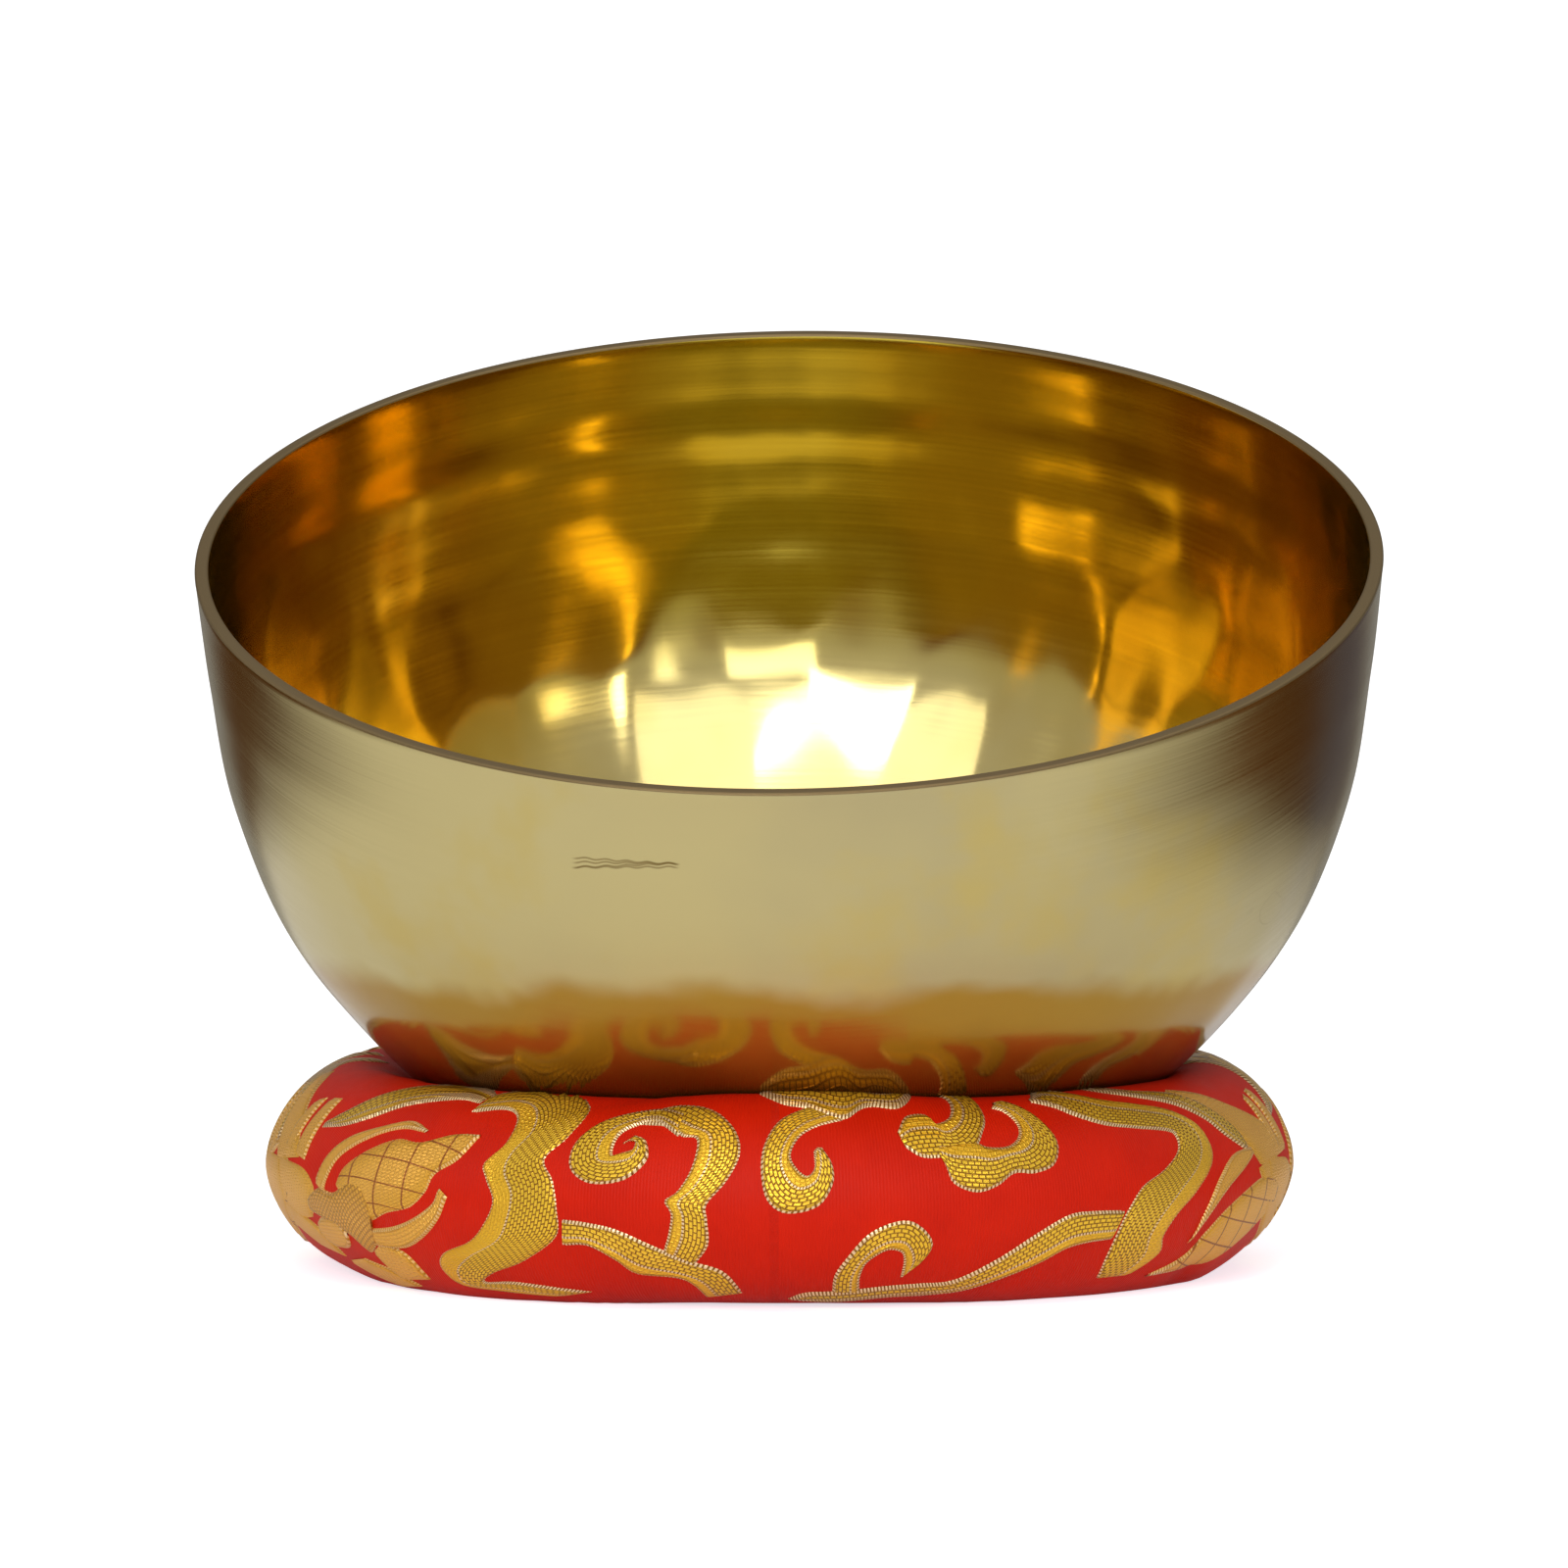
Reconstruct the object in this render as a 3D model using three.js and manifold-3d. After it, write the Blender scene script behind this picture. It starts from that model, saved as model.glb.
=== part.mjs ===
// Singing bowl resting tilted on its ring cushion.
// Millimetres, +Z up. The mouth leans towards -Y, the side the bowl is shown from.
import * as THREE from 'three';
import Module from 'manifold-3d';

const wasm = await Module();
wasm.setup();
const { Manifold, CrossSection } = wasm;

// ---- driving dimensions ----
const rimRadius = 100;           // outside radius of the mouth, an 8 inch bowl
const bowlDepth = 105;           // rim to the middle of the rounded bottom
const wallThickness = 2.0;       // hammered sheet
const lipThickness = 2.3;        // the wall is left a little thicker at the mouth
const lipBlend = 12;             // depth over which the lip thins to the wall

const bowlTilt = 22.5;           // degrees, the mouth leans to the front
const bowlRoll = 0.9;            // degrees, the +X side sits a little higher
const rimHeight = 34.9;          // mouth above the tilting centre, along the bowl's axis
const tiltCentreHeight = 90;     // tilting centre above the floor

const ringRadius = 71.4;         // middle of the stuffed tube
const tubeHalfWidth = 15.5;
const tubeHalfHeight = 17.6;     // under the bowl's weight, at the front and sides
const tubeRoundness = 1.85;      // power of the tube's rounded section, 2 is an ellipse
const backSwell = 0.40;          // how much taller the unloaded back of the ring stands
const ringOffset = -2.1;         // the ring sits a little to the left of the bowl
const floorSag = 0.8;            // how far the underside is pressed flat

const clothThickness = 1.1;      // brocade with its lining
const gap = 0.35;                // room left between neighbouring pieces
const seamWidth = 1.5;           // open edge of the cloth along the long seam
const threadRadius = 0.35;       // doubled sewing thread
const seamHeight = 13;           // the seam runs round inside the ring, below the bowl

const bowlSegments = 96;
const ringSegments = 72;

// ---- shapes shared by several pieces ----
// Outside radius of the bowl at a few depths below the rim, in shares of the rim radius:
// nearly straight walls that turn through a soft shoulder into a rounded bottom.
const wallShape = [
  [0, 1], [0.10, 0.9925], [0.19, 0.984], [0.38, 0.959], [0.57, 0.9], [0.71, 0.818],
  [0.84, 0.715], [0.93, 0.606], [1.0, 0.43], [1.035, 0.25], [1.05, 0],
];

// Points of the outside profile from the rim down to the axis, pushed out by `offset`.
function bowlOutline(offset, count) {
  const knots = wallShape.map(([depth, radius]) => new THREE.Vector3(radius, -depth, 0));
  const curve = new THREE.CatmullRomCurve3(knots, false, 'centripetal');
  const points = [];
  for (let i = 0; i <= count; i += 1) {
    const at = curve.getPoint(i / count);
    const along = curve.getTangent(i / count);
    const thickness = typeof offset === 'function' ? offset(-at.y * rimRadius) : offset;
    const x = at.x * rimRadius - along.y * thickness;
    const z = at.y * rimRadius + along.x * thickness;
    points.push(new THREE.Vector2(x, z));
  }
  points[count].x = 0;
  return points;
}

// Turns and lifts a shape given round the bowl's own axis, rim at z = 0.
function bowlPlacement() {
  const radians = Math.PI / 180;
  const lift = new THREE.Matrix4().makeTranslation(0, 0, rimHeight);
  const tilt = new THREE.Matrix4().makeRotationX(bowlTilt * radians);
  const roll = new THREE.Matrix4().makeRotationY(-bowlRoll * radians);
  const raise = new THREE.Matrix4().makeTranslation(0, 0, tiltCentreHeight);
  return raise.multiply(roll).multiply(tilt).multiply(lift);
}

// Closed section of the stuffed tube as [radius, height] points, `inset` mm inside the cloth.
function tubeSection(inset, count) {
  const points = [];
  for (let i = 0; i < count; i += 1) {
    const angle = (2 * Math.PI * i) / count;
    const bulge = (value) => Math.sign(value) * Math.abs(value) ** (2 / tubeRoundness);
    const radius = ringRadius + (tubeHalfWidth - inset) * bulge(Math.cos(angle));
    const height = tubeHalfHeight + (tubeHalfHeight - inset) * bulge(Math.sin(angle));
    points.push([radius, height - floorSag]);
  }
  return points;
}

// Lets a level ring stand taller towards the back, as the real one does where nothing
// presses on it.
function swellBack(solid) {
  return solid.warp((point) => {
    const back = point[1] / Math.hypot(point[0], point[1]);
    const share = Math.max(back, 0) ** 4;
    point[2] *= 1 + backSwell * share;
    point[0] += ringOffset;
  });
}

function ringOf(section) {
  return swellBack(CrossSection.ofPolygons([section]).revolve(ringSegments));
}

// The room that the bowl takes, `clearance` mm larger all round, open to above.
function bowlRoom(clearance) {
  const outline = bowlOutline(clearance, 30).map((point) => [point.x, point.y]);
  outline.reverse();
  outline.push([0, 0]);
  const solid = CrossSection.ofPolygons([outline], 'EvenOdd').revolve(ringSegments);
  return solid.transform(bowlPlacement().elements);
}

function aboveFloor(height) {
  const size = 3 * rimRadius;
  return Manifold.cube([size, size, size], true).translate([0, 0, size / 2 + height]);
}

// One tube-shaped solid, dented by the bowl and pressed flat on the floor.
function stuffedRing(inset, count) {
  return ringOf(tubeSection(inset, count))
    .subtract(bowlRoom(gap + inset))
    .intersect(aboveFloor(inset));
}

function geometryOf(solid) {
  const mesh = solid.getMesh();
  const geometry = new THREE.BufferGeometry();
  const stride = mesh.numProp;
  const positions = new Float32Array((mesh.vertProperties.length / stride) * 3);
  for (let i = 0; i < positions.length / 3; i += 1) {
    for (let axis = 0; axis < 3; axis += 1) {
      positions[3 * i + axis] = mesh.vertProperties[stride * i + axis];
    }
  }
  geometry.setAttribute('position', new THREE.BufferAttribute(positions, 3));
  geometry.setIndex(new THREE.BufferAttribute(new Uint32Array(mesh.triVerts), 1));
  geometry.computeVertexNormals();
  return geometry;
}

function piece(name, geometry, colour, roughness, metalness) {
  const material = new THREE.MeshStandardMaterial({ color: colour, roughness, metalness });
  const mesh = new THREE.Mesh(geometry, material);
  mesh.name = name;
  return mesh;
}

// ---- the pieces ----
// The bowl is one raised sheet: the outside profile, a flat lip, and the inside profile
// one wall thickness in.
function makeBowl() {
  const lipShare = (depth) => Math.max(0, 1 - depth / lipBlend);
  const inward = (depth) => -(wallThickness + (lipThickness - wallThickness) * lipShare(depth));
  const outside = bowlOutline(0, 26);
  const inside = bowlOutline(inward, 26).reverse();
  inside[inside.length - 1].y = 0;
  const profile = [...outside].reverse().concat([...inside].reverse());
  const geometry = new THREE.LatheGeometry(profile, bowlSegments);
  geometry.rotateX(Math.PI / 2);
  geometry.applyMatrix4(bowlPlacement());
  return piece('bowl', geometry, 0xc2b47c, 0.28, 1.0);
}

// The cover is a tube of brocade, open only along its long seam inside the ring.
function makeCover() {
  const inner = tubeHalfWidth + 2;
  const outer = tubeHalfWidth - clothThickness - 1;
  const slit = [
    [ringRadius - inner, seamHeight - seamWidth / 2],
    [ringRadius - outer, seamHeight - seamWidth / 2],
    [ringRadius - outer, seamHeight + seamWidth / 2],
    [ringRadius - inner, seamHeight + seamWidth / 2],
  ];
  const solid = stuffedRing(0, 28)
    .subtract(stuffedRing(clothThickness, 20))
    .subtract(ringOf(slit));
  return piece('cushion_cover', geometryOf(solid), 0xc41c10, 0.45, 0.0);
}

// Cotton wadding fills the cover.
function makeFilling() {
  const solid = stuffedRing(clothThickness + gap, 20);
  return piece('cushion_filling', geometryOf(solid), 0xe9e2d2, 0.95, 0.0);
}

// The thread of the long seam lies in the open edge of the cloth.
function makeSeamThread() {
  const section = [];
  for (let i = 0; i < 8; i += 1) {
    const angle = (Math.PI * i) / 4;
    section.push([
      ringRadius - tubeHalfWidth + 0.9 + threadRadius * Math.cos(angle),
      seamHeight + threadRadius * Math.sin(angle),
    ]);
  }
  return piece('seam_thread', geometryOf(ringOf(section)), 0x9c120c, 0.6, 0.0);
}

// The two ends of the tube meet at the back, where a thread is sewn over the outside.
function makeJoinThread() {
  const span = 2 * threadRadius;
  const around = ringOf(tubeSection(-gap - span, 34)).subtract(ringOf(tubeSection(-gap, 34)));
  const outerHalf = Manifold.cube([span, rimRadius, rimRadius], true)
    .translate([ringOffset, ringRadius + 2 + rimRadius / 2, rimRadius / 2 + 2]);
  const solid = around.intersect(outerHalf).subtract(bowlRoom(gap));
  return piece('join_thread', geometryOf(solid), 0xd8a038, 0.6, 0.0);
}

// ---- assembly ----
const singingBowl = new THREE.Group();
singingBowl.name = 'singing_bowl';
const pieces = [makeBowl(), makeCover(), makeFilling(), makeSeamThread(), makeJoinThread()];
for (const mesh of pieces) {
  singingBowl.add(mesh);
}

// The middle of the whole box stands over the origin.
const box = new THREE.Box3().setFromObject(singingBowl);
const middle = box.getCenter(new THREE.Vector3());
for (const mesh of pieces) {
  mesh.position.set(-middle.x, -middle.y, -box.min.z);
}

export default singingBowl;
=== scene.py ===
# %% [markdown]
# # A singing bowl on its ring cushion
# The object is two loose things: a bowl raised from one sheet of brass, and a stuffed ring of
# brocade that it stands on. The design model gives every size and place. This lesson makes the
# finish: hammered metal, plump cloth, and gold scrolls woven into the cloth.

# %% The frame
import bmesh
import bpy
import numpy as np
from math import radians, pi
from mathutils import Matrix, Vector


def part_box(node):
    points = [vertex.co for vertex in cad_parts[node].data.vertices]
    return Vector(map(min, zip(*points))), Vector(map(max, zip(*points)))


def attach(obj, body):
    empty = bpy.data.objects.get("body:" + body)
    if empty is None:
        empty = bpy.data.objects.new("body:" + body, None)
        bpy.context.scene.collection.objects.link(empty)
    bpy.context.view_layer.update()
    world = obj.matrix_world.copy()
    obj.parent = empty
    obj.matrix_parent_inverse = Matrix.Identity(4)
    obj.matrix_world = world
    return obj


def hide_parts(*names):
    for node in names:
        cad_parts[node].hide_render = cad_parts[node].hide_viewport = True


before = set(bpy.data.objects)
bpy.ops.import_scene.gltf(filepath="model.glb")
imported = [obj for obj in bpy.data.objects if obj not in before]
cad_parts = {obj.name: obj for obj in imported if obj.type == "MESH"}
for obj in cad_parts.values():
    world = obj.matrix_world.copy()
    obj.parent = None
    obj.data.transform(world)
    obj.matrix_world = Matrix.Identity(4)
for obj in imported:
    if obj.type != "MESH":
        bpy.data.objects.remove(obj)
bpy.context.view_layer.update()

MM = 0.001
bowl_low, bowl_high = [np.array(corner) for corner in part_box("bowl")]
ring_low, ring_high = [np.array(corner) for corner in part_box("cushion_cover")]
RIM_RADIUS = (bowl_high[0] - bowl_low[0]) / 2
RING_CENTRE = (ring_low + ring_high) / 2
RING_OUTER = (ring_high[0] - ring_low[0]) / 2
print("rim radius %.4f, ring radius %.4f" % (RIM_RADIUS, RING_OUTER))

# %% [markdown]
# ## Camera, floor and light
# Metal shows little but what stands round it, so the room is part of its finish. A pale room
# with a bright front and top and two dark brown sides gives the bowl its light belly and its
# dark flanks. A pale floor catches a soft shadow.

# %% Camera and floor
CAMERA_DISTANCE = 1.30
CAMERA_HEIGHT = 0.1305
AIM_HEIGHT = 0.0815
AIM_LEFT = 0.0008
LENS = 175.2
SENSOR = 36
FLOOR_CORNERS = [(-0.36, -1.0, 0), (0.28, -1.0, 0), (0.28, 0.3, 0), (-0.36, 0.3, 0)]


def look_at(thing, place, target):
    """Puts a camera or light at a place with its -Z axis towards the target."""
    thing.location = place
    thing.rotation_euler = (Vector(target) - Vector(place)).to_track_quat("-Z", "Y").to_euler()


def add(name, data):
    thing = bpy.data.objects.new(name, data)
    bpy.context.scene.collection.objects.link(thing)
    return thing


camera = add("camera", bpy.data.cameras.new("camera"))
camera.data.lens = LENS
camera.data.sensor_width = SENSOR
aim = (-AIM_LEFT, RING_CENTRE[1], AIM_HEIGHT)
look_at(camera, (-AIM_LEFT, RING_CENTRE[1] - CAMERA_DISTANCE, CAMERA_HEIGHT), aim)
bpy.context.scene.camera = camera
bpy.context.scene.view_settings.view_transform = "Standard"

floor_mesh = bpy.data.meshes.new("floor")
floor_mesh.from_pydata(FLOOR_CORNERS, [], [(0, 1, 2, 3)])
floor = add("floor", floor_mesh)

# %% Light
LIGHTS = [
    # name, place, target, width, height, watts, colour
    ("top_softbox", (0.0, -0.1, 1.5), (0, 0, 0.05), 2.0, 1.6, 5.0, (1, 0.985, 0.96)),
    ("front_softbox", (-0.2, -1.9, 1.3), (0, 0, 0.06), 3.0, 0.9, 10.0, (1, 0.99, 0.97)),
    ("low_front_softbox", (0.25, -2.4, 0.42), (0, 0, 0.1), 1.1, 0.62, 4.0, (1, 1, 1)),
    ("small_window", (0.12, -0.35, 1.3), (0, 0, 0.08), 0.42, 0.3, 1.6, (1, 1, 1)),
    ("front_window", (-0.44, -1.98, 0.90), (0, 0, 0.08), 0.85, 0.60, 8.5, (1, 1, 1)),
    ("right_window", (1.3, -1.42, 0.64), (0, 0, 0.08), 0.3, 0.5, 2.6, (1, 0.99, 0.95)),
    ("left_window", (-1.5, 0.05, 0.68), (0, 0, 0.08), 0.3, 0.35, 1.6, (1, 0.98, 0.94)),
]
for name, place, target, width, height, watts, colour in LIGHTS:
    lamp = bpy.data.lights.new(name, "AREA")
    lamp.shape = "RECTANGLE"
    lamp.size = width
    lamp.size_y = height
    lamp.energy = watts
    lamp.color = colour
    look_at(add(name, lamp), place, target)


# %% [markdown]
# Materials are small networks of nodes. A few helpers keep them short: `node` adds one and
# sets its inputs. `math`, its short forms `plus`, `minus`, `times` and `size_of`, and `step`
# work on numbers. `mix` blends two colours, `noise` and `attribute` give a pattern and a
# measure kept on the mesh, and `bump` turns a height into relief.

# %% Node helpers
def node(tree, kind, inputs=None, **settings):
    """Adds a node; inputs maps a socket's name or number to a value or to another socket."""
    new = tree.nodes.new(kind)
    for key, value in settings.items():
        setattr(new, key, value)
    for key, value in (inputs or {}).items():
        if isinstance(value, bpy.types.NodeSocket):
            tree.links.new(value, new.inputs[key])
        else:
            new.inputs[key].default_value = value
    return new


def math(tree, operation, first, second=0.0, third=0.0):
    return node(tree, "ShaderNodeMath", {0: first, 1: second, 2: third},
                operation=operation).outputs[0]


def plus(tree, first, second):
    return math(tree, "ADD", first, second)


def minus(tree, first, second):
    return math(tree, "SUBTRACT", first, second)


def times(tree, first, second):
    return math(tree, "MULTIPLY", first, second)


def size_of(tree, value):
    """The value without its sign."""
    return math(tree, "ABSOLUTE", value)


def step(tree, value, low, high):
    """0 below low, 1 above high, and a soft S between them."""
    return node(tree, "ShaderNodeMapRange", {0: value, 1: low, 2: high, 3: 0.0, 4: 1.0},
                interpolation_type="SMOOTHSTEP").outputs[0]


def mix(tree, share, first, second):
    new = node(tree, "ShaderNodeMix", {0: share, 6: first, 7: second}, data_type="RGBA")
    return new.outputs[2]


def noise(tree, vector, scale, detail=2.0, rough=0.5):
    return node(tree, "ShaderNodeTexNoise", {
        "Vector": vector, "Scale": scale, "Detail": detail, "Roughness": rough}).outputs[0]


def attribute(tree, name):
    return node(tree, "ShaderNodeAttribute", attribute_name=name).outputs["Fac"]


def bump(tree, height, strength, distance):
    return node(tree, "ShaderNodeBump", {
        "Height": height, "Strength": strength, "Distance": distance}).outputs[0]


def new_material(name, **values):
    """A Principled material; values set sockets whose names have spaces for underscores."""
    material = bpy.data.materials.new(name)
    material.use_nodes = True
    tree = material.node_tree
    shader = tree.nodes["Principled BSDF"]
    for key, value in values.items():
        socket = shader.inputs[key.replace("_", " ")]
        if isinstance(value, tuple):
            value = (*value, 1.0)
        socket.default_value = value
    return material, tree, shader


# %% The room seen in the metal
ROOM_LIGHT = (1.0, 0.985, 0.96, 1.0)
ROOM_DARK = (0.28, 0.11, 0.025, 1.0)
ROOM_MAUVE = (0.34, 0.29, 0.38, 1.0)
ROOM_STRENGTH = 0.45
BEHIND_DIMMED = 0.17
WHITE_GROUND = 0.9
world = bpy.data.worlds.new("room")
bpy.context.scene.world = world
world.use_nodes = True
room = world.node_tree
direction = node(room, "ShaderNodeTexCoord").outputs["Generated"]
facing = node(room, "ShaderNodeSeparateXYZ", {0: direction})
sideways = size_of(room, facing.outputs[0])
dark_side = step(room, sideways, 0.28, 0.52)
low_down = step(room, facing.outputs[2], 0.10, -0.04)
shade = times(room, dark_side, low_down)
to_right = step(room, facing.outputs[0], 0.3, 0.5)
right_back = times(room, to_right, step(room, facing.outputs[1], 0.60, 0.78))
dark = mix(room, right_back, ROOM_DARK, ROOM_MAUVE)
seen = mix(room, shade, ROOM_LIGHT, dark)
rays = node(room, "ShaderNodeLightPath")
seen = mix(room, rays.outputs["Is Camera Ray"], seen, (1, 1, 1, 1))
background = room.nodes["Background"]
room.links.new(seen, background.inputs[0])
behind = step(room, facing.outputs[1], 0.2, 0.55)
strength = math(room, "MULTIPLY_ADD", behind, -BEHIND_DIMMED, ROOM_STRENGTH)
strength = math(room, "MULTIPLY_ADD", rays.outputs["Is Camera Ray"], WHITE_GROUND, strength)
room.links.new(strength, background.inputs[1])

FLOOR_WHITE = (0.80, 0.80, 0.81, 1)
FLOOR_EDGE = (0.26, 0.23, 0.20, 1)
floor_material, tree, shader = new_material("floor_white", Base_Color=(0.62, 0.62, 0.63),
                                            Roughness=0.9, Emission_Color=(0.94, 0.94, 1.0))
place = node(tree, "ShaderNodeTexCoord").outputs["Object"]
across = node(tree, "ShaderNodeSeparateXYZ", {0: place}).outputs[0]
to_edge = step(tree, size_of(tree, plus(tree, across, 0.04)), 0.17, 0.33)
shade = mix(tree, to_edge, FLOOR_WHITE, FLOOR_EDGE)
tree.links.new(shade, shader.inputs["Base Color"])
rays = node(tree, "ShaderNodeLightPath")
glow = math(tree, "MULTIPLY_ADD", to_edge, 0.5, 0.62)
glow = times(tree, glow, rays.outputs["Is Camera Ray"])
glow = plus(tree, glow, math(tree, "MULTIPLY_ADD", to_edge, -0.1, 0.1))
tree.links.new(glow, shader.inputs["Emission Strength"])
floor.data.materials.append(floor_material)

# %% [markdown]
# ## Grid surfaces
# Every new piece is a grid: two parameters give a point, and whole arrays of them become one
# mesh. A grid may close on itself round the piece and along it, so nothing needs stitching.


# %% From arrays to a mesh
def grid_faces(rows, columns, wrap_rows=False, wrap_columns=False):
    """Corner numbers of each square: a point, its neighbour along, and the pair above."""
    i = np.arange(rows if wrap_rows else rows - 1)[:, None]
    j = np.arange(columns if wrap_columns else columns - 1)[None, :]
    i2, j2 = (i + 1) % rows, (j + 1) % columns
    corners = [i * columns + j, i2 * columns + j, i2 * columns + j2, i * columns + j2]
    return np.stack(corners, -1).reshape(-1, 4)


def make_mesh(name, points, faces, values=None):
    """One object from an (n, 3) array and (m, 4) faces; values are per-point attributes."""
    mesh = bpy.data.meshes.new(name)
    mesh.vertices.add(len(points))
    mesh.vertices.foreach_set("co", points.astype(np.float32).ravel())
    mesh.loops.add(faces.size)
    mesh.loops.foreach_set("vertex_index", faces.astype(np.int32).ravel())
    mesh.polygons.add(len(faces))
    mesh.polygons.foreach_set("loop_start", np.arange(0, faces.size, 4, dtype=np.int32))
    mesh.update(calc_edges=True)
    mesh.polygons.foreach_set("use_smooth", np.ones(len(faces), dtype=bool))
    for key, data in (values or {}).items():
        layer = mesh.attributes.new(key, "FLOAT", "POINT")
        layer.data.foreach_set("value", data.astype(np.float32).ravel())
    mesh.validate()
    print(name, len(points), "points,", len(faces), "faces")
    return add(name, mesh)


def finish_piece(piece, body, slot, material, *nodes):
    piece.data.materials.clear()
    piece.data.materials.append(material)
    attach(piece, body)
    if nodes:
        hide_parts(*nodes)


# %% [markdown]
# ## The bowl
# A smith raises it from one disc, so outside and inside follow one profile. The walls are
# nearly straight and turn through a soft shoulder into a rounded bottom. The lip is filed
# flat and left a little thicker. A smooth curve through a few depths and radii gives the
# outline, and the inside is the same curve one wall thickness in.

# %% The profile
WALL = 2.0 * MM
LIP = 2.3 * MM
LIP_BLEND = 12 * MM
LIP_ROUND = 0.45 * MM
BOWL_TILT = radians(22.5)
BOWL_ROLL = radians(0.9)
PATH_POINTS = 116
DEPTHS = np.array([0, 0.10, 0.19, 0.38, 0.57, 0.71, 0.84, 0.93, 1.0, 1.035, 1.05])
RADII = np.array([1, 0.9925, 0.984, 0.959, 0.90, 0.818, 0.715, 0.606, 0.43, 0.25, 0])


def through(knots, per_span):
    """Catmull-Rom curve through every knot, the same number of steps in each span."""
    ends = np.concatenate([2 * knots[:1] - knots[1:2], knots, 2 * knots[-1:] - knots[-2:-1]])
    t = np.linspace(0, 1, per_span, endpoint=False)[None, :, None]
    a, b, c, d = [ends[k:len(ends) - 3 + k][:, None] for k in range(4)]
    curve = 0.5 * (2 * b + (c - a) * t + (2 * a - 5 * b + 4 * c - d) * t ** 2
                   + (3 * b - a - 3 * c + d) * t ** 3)
    return np.vstack([curve.reshape(-1, knots.shape[1]), knots[-1:]])


def smooth_path(knots, count):
    """The curve through the knots, read at evenly spaced distances along it."""
    dense = through(knots, 24)
    steps = np.linalg.norm(np.diff(dense[:, :2], axis=0), axis=1)
    reach = np.concatenate([[0], np.cumsum(steps)])
    at = np.linspace(0, reach[-1], count)
    return np.stack([np.interp(at, reach, dense[:, k]) for k in range(knots.shape[1])], -1)


def outward(path):
    """Unit normal to the right of the way the path runs."""
    along = np.gradient(path, axis=0)
    along /= np.linalg.norm(along, axis=1)[:, None]
    return np.stack([-along[:, 1], along[:, 0]], -1)


outline = smooth_path(np.stack([RADII, -DEPTHS], -1) * RIM_RADIUS, PATH_POINTS)
outline_normal = outward(outline)
outline_normal[-1] = (0, -1)
wall = WALL + (LIP - WALL) * np.clip(1 + outline[:, 1] / LIP_BLEND, 0, 1)
print("bowl depth %.4f, path %d points" % (-outline[-1, 1], len(outline)))


# %% [markdown]
# The hammer leaves the metal gently faceted. Outside it was planished and brushed until only
# a slow wave is left. Inside, rows of tall panels climb from the bottom, and each one is
# a shallow dish with a soft ridge between neighbours. Their depth is a few tenths of
# a millimetre, enough for a mirror to break into flames of light.

# %% Hammer marks
rng = np.random.default_rng(7)
ROWS = [
    # depth as a share of the wall, panels round the bowl, half height, dish depth in mm
    (0.12, 9, 0.08, 0.20), (0.22, 15, 0.10, 0.42), (0.32, 21, 0.10, 0.50),
    (0.48, 24, 0.19, 0.5), (0.58, 19, 0.16, 0.4), (0.72, 15, 0.14, 0.5), (0.86, 8, 0.12, 0.3),
]


def hammer_marks(turn, share):
    """The sum of the dishes at each point: depth times (1 - distance squared) to 1.5, where
    the distance is measured in half heights and half widths of the dish."""
    total = np.zeros(np.broadcast(turn, share).shape)
    for depth_share, count, half_height, depth in ROWS:
        start = rng.uniform(0, 2 * pi)
        for k in range(count):
            middle = start + 2 * pi * (k + rng.uniform(-0.22, 0.22)) / count
            height = depth_share + rng.uniform(-0.04, 0.04)
            half_turn = pi / count * rng.uniform(0.85, 1.35)
            lean = rng.uniform(-0.6, 0.6)
            across = (turn - middle - lean * (share - height) + pi) % (2 * pi) - pi
            away = (across / half_turn) ** 2 + ((share - height) / half_height) ** 2
            total += depth * rng.uniform(0.5, 1.2) * np.clip(1 - away, 0, 1) ** 1.5
    return total * MM


def ripple(turn, share, size):
    """Small uneven dents: waves in random directions, each a sine of its own slant."""
    total = np.zeros(np.broadcast(turn, share).shape)
    for _ in range(14):
        round_waves = rng.integers(5, 34)
        up_waves = rng.uniform(-26, 26)
        total += np.sin(round_waves * turn + up_waves * share + rng.uniform(0, 2 * pi))
    return size * total / 14


def slow_wave(turn, share, size):
    waves = np.sin(3 * turn + 5 * share) + 0.7 * np.sin(5 * turn - 9 * share + 1)
    waves = waves + 0.5 * np.sin(11 * turn + 14 * share + 2)
    return size * waves * np.clip(1.05 - share, 0, 1)


TURNS = 360
SLOW_WAVE = 0.05 * MM
BELLY = 1.5 * MM
RIPPLE = 0.34 * MM
LATHE_RING = 0.035 * MM
LIP_RING = 0.055 * MM
turn = np.linspace(0, 2 * pi, TURNS, endpoint=False)[:, None]
share = np.linspace(0, 1, len(outline))[None, :]
fade_bottom = np.clip((0.97 - share) / 0.25, 0, 1)
out_push = slow_wave(turn, share, SLOW_WAVE) * np.clip(share / 0.08, 0, 1) * fade_bottom
front_side = np.clip(-np.sin(turn), 0, 1) ** 1.5
belly = np.clip(1 - np.abs(share - 0.15) / 0.14, 0, 1)
out_push = out_push + BELLY * front_side * belly ** 2 * (3 - 2 * belly)
rippled = np.clip((share - 0.1) / 0.2, 0.25, 1)
in_push = hammer_marks(turn, share) + ripple(turn, share, RIPPLE) * rippled
in_push = in_push * np.clip(share / 0.1, 0, 1) * fade_bottom
radius_in = outline[None, :, 0] / RIM_RADIUS
in_push = in_push + LATHE_RING * np.sin(radius_in * 95) * np.clip(2.2 * (share - 0.5), 0, 1)
flutes = ripple(turn, share, RIPPLE) * np.clip((share - 0.06) / 0.14, 0, 1)
out_push = out_push + flutes * np.clip((0.6 - share) / 0.2, 0, 1)
rings = np.sin(share * 75 + 0.4 * np.sin(2 * turn)) + 0.5 * np.sin(share * 121 + 1)
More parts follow.
